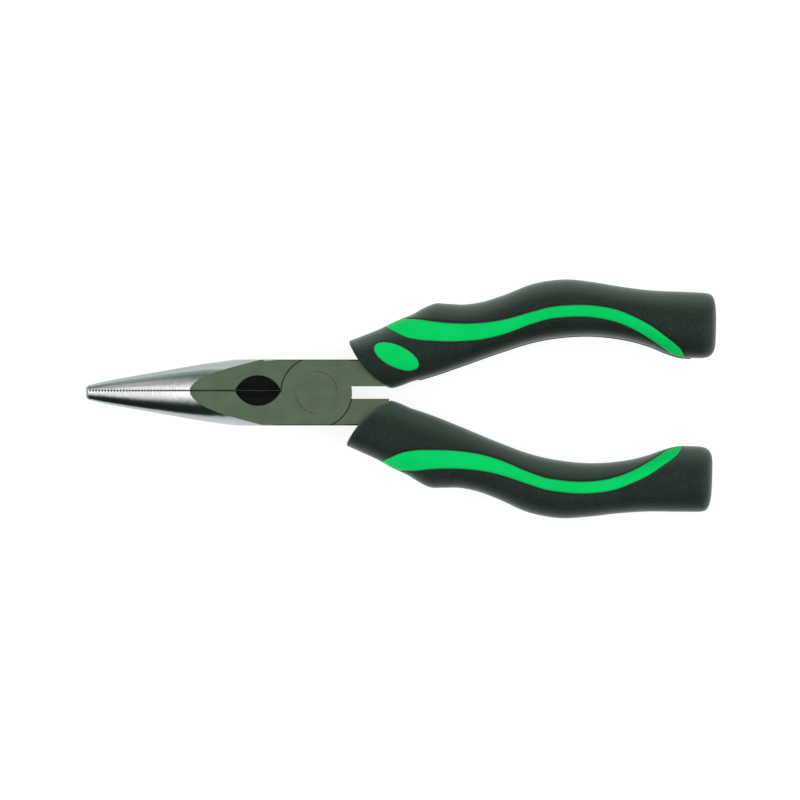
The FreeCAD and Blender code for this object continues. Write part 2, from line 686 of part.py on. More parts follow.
fill_sheet()
PIECES = [
    build_lever("front_lever", False, "sizes.rivet_clearance", "-sizes.handle_lean"),
    build_lever("rear_lever", True, "0", "sizes.handle_lean"),
    build_rivet("pivot_rivet"),
]
PIECES += build_handle("upper", False, "-sizes.handle_lean", True)
PIECES += build_handle("lower", True, "sizes.handle_lean", False)
doc.recompute()
centre_frame(PIECES)
print(f"rivet axis at x {-value('sizes.middle_at'):.3f}, y {-value('sizes.middle_out'):.3f}, "
      f"middle plane at z {value('sizes.floor_below'):.3f}")
export(PIECES)
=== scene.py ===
import json
import math

import bmesh
import bpy
import numpy as np
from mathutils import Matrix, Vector


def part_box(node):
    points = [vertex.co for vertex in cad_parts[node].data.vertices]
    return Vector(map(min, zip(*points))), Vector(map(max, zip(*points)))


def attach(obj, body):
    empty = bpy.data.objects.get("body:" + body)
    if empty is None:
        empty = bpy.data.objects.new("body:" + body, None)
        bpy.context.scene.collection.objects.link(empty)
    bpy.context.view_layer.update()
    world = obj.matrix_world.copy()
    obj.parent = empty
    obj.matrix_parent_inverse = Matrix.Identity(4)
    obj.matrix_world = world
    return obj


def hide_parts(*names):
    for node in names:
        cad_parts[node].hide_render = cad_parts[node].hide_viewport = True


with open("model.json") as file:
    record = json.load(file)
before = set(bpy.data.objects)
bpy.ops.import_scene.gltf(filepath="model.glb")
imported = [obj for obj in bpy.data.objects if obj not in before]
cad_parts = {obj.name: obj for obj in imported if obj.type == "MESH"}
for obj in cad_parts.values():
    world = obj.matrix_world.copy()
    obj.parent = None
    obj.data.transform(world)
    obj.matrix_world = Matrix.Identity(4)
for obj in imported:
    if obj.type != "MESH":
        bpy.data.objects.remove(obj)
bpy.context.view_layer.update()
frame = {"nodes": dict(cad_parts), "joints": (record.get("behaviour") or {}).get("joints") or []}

# ---- Levers ------------------------------------------------------------------------------------------------
# Two drop-forged steel levers that cross in a lap joint. The joint's faces are ground flat and blacked to a
# greenish grey. The long nose is polished on a belt; the paler and darker bands on its flanks, set by which
# way the skin faces, are painted reflection and shade. The relief over the cutters, the teeth and the
# throat are black: partly their scale, partly painted shade in these hollows. The gap round the lap
# plates is painted shade.

pivot = Vector(frame["joints"][0]["pos_m"])
MM = 0.001
head_half_thickness = (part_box("pivot_rivet")[1].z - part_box("pivot_rivet")[0].z) / 2
face_depth = 0.10 * MM             # below the ground faces, where the blacking has died out
eye_front = 20.8 * MM              # the relief runs from here to the lap plate, ahead of the rivet
eye_back = 9.0 * MM
eye_half_width = 3.9 * MM
lap_radius = 9.05 * MM             # middle of the fine gap round each lap plate
mating_line = 0.504 * MM           # from the rivet's axis towards the upper jaw
nose_reach = 58.7 * MM
nose_root = 14.0 * MM              # the polish is full from here to the tip
polish_blend = 5.0 * MM            # and fades towards the joint over this length
teeth_reach = 0.60 * MM            # how far the black of the teeth goes from the mating line
GROUND_GREY = (0.100, 0.136, 0.088, 1.0)
POLISHED = (0.84, 0.84, 0.86, 1.0)
TIP_GREY = (0.22, 0.24, 0.24, 1.0)
# Painted reflection and shade on the nose's flanks, chosen by which way the skin faces:
PAINTED_UPPER_FLANK_REFLECTION = (0.42, 0.53, 0.48, 1.0)
PAINTED_UPPER_RIM_REFLECTION = (0.38, 0.40, 0.40, 1.0)
PAINTED_LOWER_FLANK_SHADE = (0.28, 0.38, 0.34, 1.0)
PAINTED_LOWER_RIM_REFLECTION = (0.47, 0.47, 0.51, 1.0)
# Black scale, also used as painted shade in the hollows and along the lap gap.
BLACK_SCALE_AND_SHADE = (0.010, 0.013, 0.012, 1.0)


def node_material(name):
    """New material with nodes, its tree, and its surface shader."""
    material = bpy.data.materials.new(name)
    material.use_nodes = True
    tree = material.node_tree
    shader = tree.nodes["Principled BSDF"]
    return material, tree, shader


def add(tree, kind, **settings):
    """Node with its properties set, and its unlinked sockets set by name or number."""
    node = tree.nodes.new(kind)
    sockets = settings.pop("sockets", {})
    for key, amount in settings.items():
        setattr(node, key, amount)
    for key, amount in sockets.items():
        if hasattr(amount, "links"):
            tree.links.new(amount, node.inputs[key])
        else:
            node.inputs[key].default_value = amount
    return node


def math_node(tree, operation, *values, clamp=False):
    sockets = {number: amount for number, amount in enumerate(values)}
    return add(tree, "ShaderNodeMath", operation=operation, use_clamp=clamp, sockets=sockets).outputs[0]


def mix_colour(tree, factor, first, second):
    node = add(tree, "ShaderNodeMix", data_type="RGBA", sockets={0: factor, 6: first, 7: second})
    return node.outputs[2]


def soft_step(tree, amount, low, high):
    """0 below low, 1 above high, and smooth between them."""
    node = add(tree, "ShaderNodeMapRange", interpolation_type="SMOOTHSTEP",
               sockets={0: amount, 1: low, 2: high, 3: 0.0, 4: 1.0})
    return node.outputs[0]


def place_about(tree, centre, scale=(1, 1, 1)):
    """Object coordinates measured from a point of the frame, and stretched."""
    coordinates = add(tree, "ShaderNodeTexCoord").outputs["Object"]
    location = [-a * b for a, b in zip(centre, scale)]
    return add(tree, "ShaderNodeMapping", sockets={0: coordinates, 1: location, 3: scale}).outputs[0]


def noise(tree, vector, scale, detail=2.0, rough=0.5):
    node = add(tree, "ShaderNodeTexNoise", sockets={"Vector": vector, "Scale": scale, "Detail": detail,
                                                    "Roughness": rough})
    return node.outputs[0]


def bump(tree, height, distance, strength=1.0, under=None):
    sockets = {"Height": height, "Distance": distance, "Strength": strength}
    if under is not None:
        sockets["Normal"] = under
    return add(tree, "ShaderNodeBump", sockets=sockets).outputs[0]


def facing_way(tree):
    """The way that the skin faces, as its parts along X, Y and Z."""
    normal = add(tree, "ShaderNodeTexCoord").outputs["Normal"]
    return add(tree, "ShaderNodeSeparateXYZ", sockets={0: normal}).outputs


def ground_face(tree):
    """Colour and roughness of the ground faces: a fine straight grain, and faint clouds of blacking."""
    grain = noise(tree, place_about(tree, pivot, (120, 5000, 5000)), 1.0, 3.0, 0.6)
    clouds = noise(tree, place_about(tree, pivot), 260.0, 3.0)
    tint = math_node(tree, "ADD", math_node(tree, "MULTIPLY", grain, 0.35),
                     math_node(tree, "MULTIPLY", clouds, 0.65))
    dark, light = (tuple(share * part for part in GROUND_GREY[:3]) + (1.0,) for share in (0.90, 1.10))
    colour = mix_colour(tree, soft_step(tree, tint, 0.3, 0.7), dark, light)
    return colour, math_node(tree, "ADD", 0.36, math_node(tree, "MULTIPLY", grain, 0.14))


def plan_distance(tree, centre):
    """Distance from the upright axis through a point."""
    across = place_about(tree, centre, (1, 1, 0))
    return add(tree, "ShaderNodeVectorMath", operation="LENGTH", sockets={0: across}).outputs["Value"]


def relief_plan(tree):
    """The relief over the cutters in plan: a pointed oval between two arcs."""
    half_length = (eye_front - eye_back) / 2
    radius = (half_length ** 2 + eye_half_width ** 2) / (2 * eye_half_width)
    arcs = []
    for side in (-1, 1):
        off_middle = mating_line + side * (radius - eye_half_width)
        centre = pivot + Vector((-(eye_front + eye_back) / 2, off_middle, 0))
        arcs.append(soft_step(tree, plan_distance(tree, centre), radius + 0.10 * MM, radius + 0.04 * MM))
    return math_node(tree, "MULTIPLY", *arcs)


def tooth_scale_and_shade(tree, x, y, level, normal):
    """Where a jaw's face is black, partly its scale and partly painted shade deep in the teeth: beside the
    mating line, in the teeth, the groove and the throat.
    """
    off_line = math_node(tree, "ABSOLUTE", math_node(tree, "SUBTRACT", y, mating_line))
    at_line = soft_step(tree, off_line, teeth_reach, teeth_reach - 0.10 * MM)
    facing = soft_step(tree, math_node(tree, "ABSOLUTE", normal[1]), 0.55, 0.75)
    # Black deep in the teeth's holes is painted shade.
    deep = math_node(tree, "MULTIPLY", soft_step(tree, level, 0.9 * MM, 0.5 * MM),
                     soft_step(tree, x, -nose_reach + 0.4 * MM, -nose_reach + 0.7 * MM))
    return math_node(tree, "MULTIPLY", at_line, math_node(tree, "MAXIMUM", facing, deep))


def lap_gap_shade(tree, x, y):
    """Painted shade of the gap round the lap plates, on the two quarters where the other lever's shoulder
    meets them.
    """
    past_rim = math_node(tree, "SUBTRACT", plan_distance(tree, pivot), lap_radius)
    off_rim = math_node(tree, "ABSOLUTE", past_rim)
    crossing = soft_step(tree, math_node(tree, "MULTIPLY", x, y), 4e-6, -4e-6)
    return math_node(tree, "MULTIPLY", soft_step(tree, off_rim, 0.24 * MM, 0.08 * MM), crossing)


def nose_polish_and_painted_reflection(tree, normal):
    """Colour and roughness of the nose: bright on its crown, with painted reflection and shade in paler and
    darker bands where it turns to a side, and darker where it faces ahead at the tip.
    """
    belt = noise(tree, place_about(tree, pivot, (5200, 700, 700)), 1.0, 2.0, 0.6)
    polish_and_painted_reflection = mix_colour(tree, soft_step(tree, belt, 0.3, 0.7), (0.70, 0.71, 0.72, 1.0), POLISHED)
    upper = normal[1]
    lower = math_node(tree, "MULTIPLY", normal[1], -1.0)
    ahead = math_node(tree, "MULTIPLY", normal[0], -1.0)
    # Paler and darker bands by which way the skin faces: painted reflection and shade of the room.
    for amount, low, high, tone in ((upper, 0.28, 0.50, PAINTED_UPPER_FLANK_REFLECTION), (upper, 0.62, 0.88, PAINTED_UPPER_RIM_REFLECTION),
                                    (lower, 0.26, 0.42, PAINTED_LOWER_FLANK_SHADE), (lower, 0.66, 0.84, PAINTED_LOWER_RIM_REFLECTION),
                                    (ahead, 0.25, 0.50, TIP_GREY)):
        polish_and_painted_reflection = mix_colour(tree, soft_step(tree, amount, low, high), polish_and_painted_reflection, tone)
    return polish_and_painted_reflection, math_node(tree, "ADD", 0.16, math_node(tree, "MULTIPLY", belt, 0.08))


def mix_number(tree, factor, first, second):
    return add(tree, "ShaderNodeMix", data_type="FLOAT", sockets={0: factor, 2: first, 3: second}).outputs[0]


def lever_steel():
    """Ground grey on the joint's faces, polish with painted reflection on the nose, black that is partly
    scale and partly painted shade in the relief and on the jaws' faces, and painted shade in the gap
    round the lap plates.
    """
    material, tree, shader = node_material("forged_steel")
    x, y, z = add(tree, "ShaderNodeSeparateXYZ", sockets={0: place_about(tree, pivot)}).outputs
    normal = facing_way(tree)
    upright = math_node(tree, "ABSOLUTE", normal[2])
    level = math_node(tree, "ABSOLUTE", z)
    on_face = soft_step(tree, level, head_half_thickness - face_depth, head_half_thickness - 0.3 * face_depth)
    flat = math_node(tree, "MULTIPLY", on_face, soft_step(tree, upright, 0.985, 0.998))
    on_nose = soft_step(tree, x, -nose_root + polish_blend, -nose_root)
    polished = math_node(tree, "MULTIPLY", on_nose, math_node(tree, "SUBTRACT", 1.0, flat))
    # Black in the relief and the teeth (the scale mask below): partly scale, partly painted shade in these
    # hollows.
    below = soft_step(tree, z, head_half_thickness - 0.05 * MM, head_half_thickness - 0.25 * MM)
    relief = math_node(tree, "MULTIPLY", relief_plan(tree), below)
    teeth = math_node(tree, "MULTIPLY", tooth_scale_and_shade(tree, x, y, level, normal), on_nose)
    scale = math_node(tree, "MAXIMUM", relief, teeth)

    ground, rough_ground = ground_face(tree)
    # Painted shade along the gap round the lap plates.
    gap_shade = math_node(tree, "MULTIPLY", lap_gap_shade(tree, x, y), 0.85)
    ground = mix_colour(tree, gap_shade, ground, BLACK_SCALE_AND_SHADE)
    polish_and_painted_reflection, rough_shine = nose_polish_and_painted_reflection(tree, normal)
    colour = mix_colour(tree, polished, ground, polish_and_painted_reflection)
    colour = mix_colour(tree, scale, colour, BLACK_SCALE_AND_SHADE)
    tree.links.new(colour, shader.inputs["Base Color"])
    roughness = mix_number(tree, scale, mix_number(tree, polished, rough_ground, rough_shine), 0.75)
    tree.links.new(roughness, shader.inputs["Roughness"])
    metal = math_node(tree, "SUBTRACT", 1.0, math_node(tree, "MULTIPLY", scale, 0.8))
    tree.links.new(metal, shader.inputs["Metallic"])
    fine = noise(tree, place_about(tree, pivot, (900, 9000, 9000)), 1.0, 2.0, 0.6)
    smoothed = math_node(tree, "SUBTRACT", 1.0, math_node(tree, "MULTIPLY", polished, 0.6))
    grain = math_node(tree, "MULTIPLY", fine, smoothed)
    tree.links.new(bump(tree, grain, 0.01 * MM, 0.4), shader.inputs["Normal"])
    return material


steel = lever_steel()
for node in ("front_lever", "rear_lever"):
    frame["nodes"][node].data.materials.clear()
    frame["nodes"][node].data.materials.append(steel)

# ---- Rivet -------------------------------------------------------------------------------------------------
# One solid steel rivet, set with countersunk heads and ground level with the joint, so that only its faint
# round outline shows.

worn_line = 5.05 * MM, 5.30 * MM   # where the worn line starts and is full, from the axis
WORN_BROWN = (0.060, 0.055, 0.030, 1.0)


def rivet_steel():
    """The same ground grey, with a fine worn line near the rim on two opposite quarters."""
    material, tree, shader = node_material("rivet_steel")
    x, y, _ = add(tree, "ShaderNodeSeparateXYZ", sockets={0: place_about(tree, pivot)}).outputs
    face, roughness = ground_face(tree)
    worn = soft_step(tree, math_node(tree, "MULTIPLY", x, y), -2e-6, 8e-6)
    rim = math_node(tree, "MULTIPLY", soft_step(tree, plan_distance(tree, pivot), *worn_line), worn)
    face = mix_colour(tree, math_node(tree, "MULTIPLY", rim, 0.7), face, WORN_BROWN)
    tree.links.new(face, shader.inputs["Base Color"])
    tree.links.new(roughness, shader.inputs["Roughness"])
    shader.inputs["Metallic"].default_value = 1.0
    fine = noise(tree, place_about(tree, pivot, (900, 9000, 9000)), 1.0, 2.0, 0.6)
    tree.links.new(bump(tree, fine, 0.01 * MM, 0.4), shader.inputs["Normal"])
    return material


frame["nodes"]["pivot_rivet"].data.materials.clear()
frame["nodes"]["pivot_rivet"].data.materials.append(rivet_steel())

# ---- Hard cores --------------------------------------------------------------------------------------------
# Glass-filled plastic sleeves moulded over the tangs. They carry the soft covers and stay out of sight.


def core_plastic():
    material, tree, shader = node_material("hard_plastic")
    grain = noise(tree, place_about(tree, pivot), 900.0, 3.0)
    colour = mix_colour(tree, grain, (0.018, 0.020, 0.019, 1.0), (0.035, 0.038, 0.036, 1.0))
    tree.links.new(colour, shader.inputs["Base Color"])
    rough = math_node(tree, "ADD", 0.45, math_node(tree, "MULTIPLY", grain, 0.2))
    tree.links.new(rough, shader.inputs["Roughness"])
    tree.links.new(bump(tree, grain, 0.05 * MM, 0.4), shader.inputs["Normal"])
    return material


core_finish = core_plastic()
for node in ("upper_grip_core", "lower_grip_core"):
    frame["nodes"][node].data.materials.clear()
    frame["nodes"][node].data.materials.append(core_finish)

# ---- Grip covers -------------------------------------------------------------------------------------------
# Soft charcoal overmould on each handle: a collar with a slanting mouth behind the joint, a knee, a dip for
# the finger, a broad swell, a waist and a rounded end. A window on each face takes a coloured inlay.
# Plan sizes are in millimetres from the rivet's axis along the handle, and from the handles' mirror axis.

handle_lean = math.radians(1.46)
outer_edge = [(6, 12.4), (9, 13.75), (12.2, 15.1), (16, 16.75), (19, 18.3), (21.8, 19.6), (24, 20.6),
              (26.5, 22.1), (29.4, 23.4), (33, 23.45), (36.5, 23.35), (41.5, 24.15), (46.7, 25.9),
              (54.3, 29.05), (58.5, 30.0), (63.2, 30.45), (69.6, 29.95), (77.2, 28.9), (84.8, 28.2),
              (92.5, 28.05), (96, 28.0), (102, 27.8)]
inner_edge = [(6, 1.3), (12, 1.3), (17.5, 1.35), (20.2, 1.8), (22, 2.45), (24.3, 3.4), (26, 3.9),
              (29.6, 5.05), (36.5, 7.6), (46.7, 11.5), (54.3, 14.1), (58.5, 15.1), (63.2, 15.8),
              (69.6, 16.2), (77.2, 15.6), (81, 14.9), (84.8, 13.8), (89, 12.2), (92.5, 11.3), (96, 11.2),
              (102, 11.3)]
half_thickness = [(6, 7.9), (12, 8.15), (25, 8.5), (37, 8.3), (60, 8.5), (84, 8.35), (94, 8.45),
                  (102, 8.45)]
stripe_outer = [(17.2, 17.3), (18.0, 18.5), (19.5, 19.3), (22, 19.45), (25.5, 19.38), (29.6, 18.85),
                (36.5, 18.55), (41.5, 18.83), (46.7, 19.7), (54.3, 21.98), (58.5, 23.2), (63.2, 23.85),
                (69.6, 23.95), (77.2, 22.6), (81, 21.0), (84.8, 19.05), (89, 16.05), (91.2, 14.4),
                (92.5, 13.1), (93.3, 11.5), (93.8, 10.6)]
stripe_inner = [(17.2, 17.1), (18.0, 16.65), (19.5, 15.9), (22, 14.75), (25.5, 14.0), (29.6, 13.78),
                (36.5, 13.9), (41.5, 14.45), (46.7, 15.75), (54.3, 18.7), (58.5, 20.05), (63.2, 20.7),
                (69.6, 20.8), (77.2, 19.25), (81, 17.6), (84.8, 15.4), (89, 12.6), (91.2, 11.0),
                (92.5, 10.6), (93.8, 10.5)]
end_start = 95.5                   # the end rounds off from here to the handle's full reach
handle_reach = 101.3
end_middle = 16.6
fullness = 2.5                     # of the section: 2 is an ellipse, more is squarer
lip = 1.3                          # rounding of the collar's mouth
stripe_start = 17.2
stripe_end = 93.8
mouth_outer_end = 8.0, 12.7        # ends of the mouth's arc, along and across, and its radius
mouth_inner_end = 18.5, 1.2
mouth_radius = 26.0
plain_from = 26.0                  # the mouth's slant has died out by here
window_depth = 1.1
groove_depth = 0.20                # of the fine groove round the window
groove_reach = 0.30
cover_columns = 17, 16, 34         # beside, under and below the inlay, on one face of the cover
mouth_middle = 7.0                 # across; the rings inside the mouth close in on it


def through(points, where):
    """Smooth curve through points, read at an array of places."""
    xs, ys = np.array(points, float).T
    slope = np.gradient(ys, xs)
    where = np.clip(where, xs[0], xs[-1])
    cell = np.clip(np.searchsorted(xs, where, "right") - 1, 0, len(xs) - 2)
    width = xs[cell + 1] - xs[cell]
    share = (where - xs[cell]) / width
    rise = ys[cell + 1] - ys[cell]
    bend = (1 - share) * (slope[cell] * width - rise) - share * (slope[cell + 1] * width - rise)
    return ys[cell] + share * rise + share * (1 - share) * bend


def section(x):
    """Middle, half width and half thickness of the grip at places along the handle."""
    outer = through(outer_edge, x)
    inner = through(inner_edge, x)
    up = through(half_thickness, x)
    run = np.clip((x - end_start) / (handle_reach - end_start), 0, 1)
    outer = end_middle + (outer - end_middle) * (1 - run ** 7) ** (1 / 4)
    inner = end_middle + (inner - end_middle) * (1 - run ** 4.5) ** (1 / 3)
    up = up * (1 - run ** 3.5) ** (1 / 2.5)
    return (outer + inner) / 2, (outer - inner) / 2, up


def surface(x, turn):
    """Point of the grip's skin: turn goes from the outer side over the front face to the inner side."""
    middle, half, up = section(x)
    cosine, sine = np.cos(turn), np.sin(turn)
    across = np.sign(cosine) * np.abs(cosine) ** (2 / fullness)
    rise = np.sign(sine) * np.abs(sine) ** (2 / fullness)
    return np.stack([x, middle + half * across, up * rise], -1)


def skin(x, turn, lift):
    """Point of the skin, lifted along its normal by an amount in millimetres."""
    step = 1e-3
    along = surface(x + step, turn) - surface(x - step, turn)
    around = surface(x, turn + step) - surface(x, turn - step)
    normal = np.cross(along, around)
    normal /= np.maximum(np.linalg.norm(normal, axis=-1, keepdims=True), 1e-12)
    return surface(x, turn) - normal * lift[..., None]


def turn_at(x, across):
    """The turn at which the skin lies over a plan distance from the mirror axis."""
    middle, half, _ = section(x)
    share = np.clip((across - middle) / half, -0.985, 0.985)
    return np.arccos(np.sign(share) * np.abs(share) ** (fullness / 2))


def mouth(across):
    """The collar's mouth: a shallow arc that slants over the tang, in plan."""
    inner_end = np.array(mouth_inner_end)
    half = (np.array(mouth_outer_end) - inner_end) / 2
    side = np.array((half[1], -half[0])) / np.linalg.norm(half)
    centre = inner_end + half + side * math.sqrt(mouth_radius ** 2 - half @ half)
    across = np.clip(across, 0.0, 14.5)
    return centre[0] - np.sqrt(np.maximum(mouth_radius ** 2 - (across - centre[1]) ** 2, 1.0))


def to_frame(points, sign):
    """Handle plan to the frame: sign is 1 for the upper handle and -1 for the lower one, its mirror image."""
    x, y, z = points[..., 0], points[..., 1] * sign, points[..., 2]
    lean = -handle_lean
    along = x * math.cos(lean) - y * math.sin(lean)
    across = x * math.sin(lean) + y * math.cos(lean)
    return np.stack([along, across, z], -1) * MM + np.array(pivot)


def closed_rings(rings, flip):
    """Faces of a skin of closed rings, with a fan at each end."""
    count, around = rings.shape[:2]
    points = rings.reshape(-1, 3).tolist()
    faces = []
    for ring in range(count - 1):
        for number in range(around):
            following = (number + 1) % around
            faces.append((ring * around + number, ring * around + following,
                          (ring + 1) * around + following, (ring + 1) * around + number))
    for ring, order in ((0, -1), (count - 1, 1)):
        points.append(rings[ring].mean(0).tolist())
        centre = len(points) - 1
        for number in range(around):
            following = (number + 1) % around
            faces.append((centre, ring * around + number, ring * around + following)[::order])
    if flip:
        faces = [face[::-1] for face in faces]
    return points, faces


def new_piece(name, points, faces, material, sharp=None):
    """Smooth-shaded piece at the origin, its doubles merged and its faces turned outwards."""
    mesh = bpy.data.meshes.new(name)
    mesh.from_pydata(points, [], faces)
    work = bmesh.new()
    work.from_mesh(mesh)
    bmesh.ops.remove_doubles(work, verts=work.verts, dist=1e-6)
    bmesh.ops.dissolve_degenerate(work, edges=work.edges, dist=1e-7)
    bmesh.ops.recalc_face_normals(work, faces=work.faces)
    work.to_mesh(mesh)
    work.free()
    mesh.materials.append(material)
    mesh.shade_smooth()
    if sharp:
        mesh.set_sharp_from_angle(angle=math.radians(sharp))
    piece = bpy.data.objects.new(name, mesh)
    bpy.context.scene.collection.objects.link(piece)
    return piece


def eased(count):
    """Shares from 0 to 1 that crowd together towards 1."""
    return 1 - (1 - np.linspace(0, 1, count + 1)) ** 1.8


def cover_turns(x):
    """Turns of one face's columns at places along the handle, and those of the window's two edges."""
    beside, under, below = cover_columns
    here = np.clip(x, stripe_start, stripe_end)
    first = turn_at(here, through(stripe_outer, here))
    last = np.maximum(turn_at(here, through(stripe_inner, here)), first + math.radians(0.6))
    turns = [first[..., None] * eased(beside)[:-1],
             first[..., None] + (last - first)[..., None] * np.linspace(0, 1, under + 1)[:-1],
             math.pi - (math.pi - last)[..., None] * eased(below)[::-1]]
    return np.concatenate(turns, -1), first, last


def window_lift(x, turn, first, last):
    """How far the skin drops into the window and the fine groove round it, as a lift below 0."""
    _, half, up = section(x)
    size = (half + up) / 2
    near = np.minimum(np.abs(turn - first[..., None]), np.abs(turn - last[..., None])) * size[..., None]
    width = ((last - first) * size)[..., None]
    open_share = np.clip((width - 0.25) / 1.2, 0, 1)
    beyond = np.maximum(stripe_start - x, x - stripe_end)[..., None]
    open_share = open_share * np.clip(1 - beyond / 0.3, 0, 1)
    inside = (turn > first[..., None]) & (turn < last[..., None])
    groove = -groove_depth * np.exp(-(near / groove_reach) ** 2)
    sunk = -window_depth * np.clip(near / 0.25, 0, 1) - groove_depth
    return np.where(inside, sunk, groove) * open_share


def mouth_rings(outermost):
    """Rings from deep in the collar's mouth, over its rounded lip, to the outermost ring."""
    centre = np.array((0, mouth_middle, 0.0))
    inward = (centre - outermost) * (0, 1, 1)
    inward /= np.linalg.norm(inward, axis=1, keepdims=True)
    rings = []
    for angle in np.linspace(0, math.pi / 2, 8)[1:]:
        ring = outermost + inward * lip * (1 - math.cos(angle))
        ring[:, 0] = mouth(ring[:, 1]) + lip * (1 - math.sin(angle))
        rings.append(ring)
    innermost = rings[-1]
    for share in (0.9, 0.75, 0.6, 0.45):
        ring = centre + (innermost - centre) * (0, share, share)
        ring[:, 0] = mouth(ring[:, 1])
        rings.append(ring)
    return np.array(rings[::-1])


def cover_rings():
    """Rings of the cover, from inside the mouth, over its lip and along the grip to the rounded end."""
    slanting = np.linspace(0, 1, 60) ** 1.15
    plain = plain_from + (end_start - plain_from) * np.linspace(0, 1, 210)[1:]
    end = end_start + (handle_reach - end_start) * np.sin(np.linspace(0, math.pi / 2, 26))[1:]
    end[-1] = handle_reach - 1e-4

    rings = []
    for share in slanting:
        x = np.full(sum(cover_columns) + 1, 10.0)
        column = np.arange(len(x))
        for _ in range(12):
            turns, first, last = cover_turns(x)
            turn = turns[column, column]
            start = mouth(surface(x, turn)[:, 1]) + lip
            x = start + (plain_from - start) * share
        rings.append((x, turn, window_lift(x, turns, first, last)[column, column]))
    for place in np.concatenate([plain, end]):
        x = np.array([place])
        turns, first, last = cover_turns(x)
        rings.append((np.full(turns.shape[1], place), turns[0], window_lift(x, turns, first, last)[0]))

    points = []
    for x, turn, depth in rings:
        front = skin(x, np.clip(turn, 1e-3, math.pi - 1e-3), depth)
        rear = front[::-1][1:-1] * np.array((1, 1, -1))
        front[0, 2] = front[-1, 2] = 0.0
        points.append(np.concatenate([front, rear]))
    points = np.array(points)
    return np.concatenate([mouth_rings(points[0]), points])


def cover_rubber():
    """Charcoal with a fine grain, near black on the crown, and paler on the sides that face +Y: painted
    light.
    """
    material, tree, shader = node_material("soft_cover")
    place = place_about(tree, pivot)
    grain = noise(tree, place, 5200.0, 2.0, 0.6)
    clouds = noise(tree, place, 90.0, 3.0)
    crown = mix_colour(tree, soft_step(tree, clouds, 0.3, 0.7),
                       (0.0060, 0.0125, 0.0085, 1.0), (0.0090, 0.0165, 0.0120, 1.0))
    # Painted light: the sides that face +Y are paler, as if lit from that side.
    painted_light_side = soft_step(tree, facing_way(tree)[1], 0.10, 0.95)
    colour = mix_colour(tree, painted_light_side, crown, (0.056, 0.084, 0.066, 1.0))
    colour = mix_colour(tree, soft_step(tree, grain, 0.50, 0.80), colour, (0.052, 0.078, 0.062, 1.0))
    tree.links.new(colour, shader.inputs["Base Color"])
    rough = math_node(tree, "ADD", 0.40, math_node(tree, "MULTIPLY", clouds, 0.10))
    rough = math_node(tree, "ADD", rough, math_node(tree, "MULTIPLY", grain, 0.08))
    tree.links.new(rough, shader.inputs["Roughness"])
    tree.links.new(bump(tree, grain, 0.035 * MM, 0.6), shader.inputs["Normal"])
    shader.inputs["Specular IOR Level"].default_value = 0.14
    shader.inputs["Sheen Weight"].default_value = 0.25
    shader.inputs["Sheen Roughness"].default_value = 0.35
    shader.inputs["Sheen Tint"].default_value = (0.88, 0.95, 1.0, 1.0)
    return material


cover_finish = cover_rubber()
sides = {"upper": (1, "front_half"), "lower": (-1, "rear_half")}
cover_shape = cover_rings()
covers = {}
for side, (sign, _) in sides.items():
    points, faces = closed_rings(to_frame(cover_shape, sign), sign < 0)
    covers[side] = new_piece(f"{side}_cover", points, faces, cover_finish, 42)

# ---- Inlays ------------------------------------------------------------------------------------------------
# Green soft-plastic swooshes in the covers' windows, front and rear, crowned a little proud of the charcoal,
# with rounded edges that drop into a fine groove.

inlay_thickness = 1.0
inlay_crown = 0.14
inlay_edge_drop = 0.34


def inlay_rings():
    """Rings across the swoosh, each a closed section: crowned top and a flat underside in the window."""
    run = np.linspace(0, 1, 260)
    x = stripe_start + (stripe_end - stripe_start) * (run - 0.06 * np.sin(2 * math.pi * run))
    share = (1 - np.cos(np.linspace(0, math.pi, 23))) / 2
    rings = []
    for place in x:
        here = np.array([place])
        first = turn_at(here, through(stripe_outer, here))[0]
        last = max(turn_at(here, through(stripe_inner, here))[0], first + 1e-4)
        _, half, up = section(here)
        width = (last - first) * (half[0] + up[0]) / 2
        thick = min(inlay_thickness, width * 0.45)
        inset = min(0.05, width * 0.2) / max(width, 1e-6)
        spread = inset + share * (1 - 2 * inset)
        turns = first + (last - first) * spread
        edge_drop = min(inlay_edge_drop, width * 0.25)
        crown = min(inlay_crown, width * 0.1) - edge_drop * np.abs(2 * share - 1) ** 7
        top = skin(np.full_like(turns, place), turns, crown)
        low = np.linspace(1 - inset * 2, inset * 2, 6)
        under = skin(np.full_like(low, place), first + (last - first) * low, np.full_like(low, -thick))
        rings.append(np.concatenate([top, under]))
    return np.array(rings)


def inlay_green():
    material, tree, shader = node_material("green_inlay")
    place = place_about(tree, pivot)
    grain = noise(tree, place, 4200.0, 2.0, 0.6)
    clouds = noise(tree, place, 70.0, 2.0)
    colour = mix_colour(tree, soft_step(tree, clouds, 0.3, 0.7),
                        (0.0004, 0.575, 0.112, 1.0), (0.0008, 0.625, 0.130, 1.0))
    tree.links.new(colour, shader.inputs["Base Color"])
    rough = math_node(tree, "ADD", 0.42, math_node(tree, "MULTIPLY", grain, 0.12))
    tree.links.new(rough, shader.inputs["Roughness"])
    tree.links.new(bump(tree, grain, 0.02 * MM, 0.4), shader.inputs["Normal"])
    shader.inputs["Specular IOR Level"].default_value = 0.03
    return material


green_finish = inlay_green()
inlay_shape = inlay_rings()
for side, (sign, body) in sides.items():
    for face, up in (("front", 1), ("rear", -1)):
        shape = inlay_shape * np.array((1, 1, up))
        points, faces = closed_rings(to_frame(shape, sign), sign * up < 0)
        piece = new_piece(f"{side}_inlay_{face}", points, faces, green_finish, 50)
        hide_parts(f"{side}_stripe_{face}")
        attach(piece, body)

# ---- Badge -------------------------------------------------------------------------------------------------
# Plain green oval, pressed into a shallow pocket on the front of the upper collar. Nothing is marked on it.

badge_at = np.array((20.1, 9.68))
badge_half = np.array((6.2, 2.8))
badge_tilt = math.radians(-24.0)
pocket_clearance = 0.07


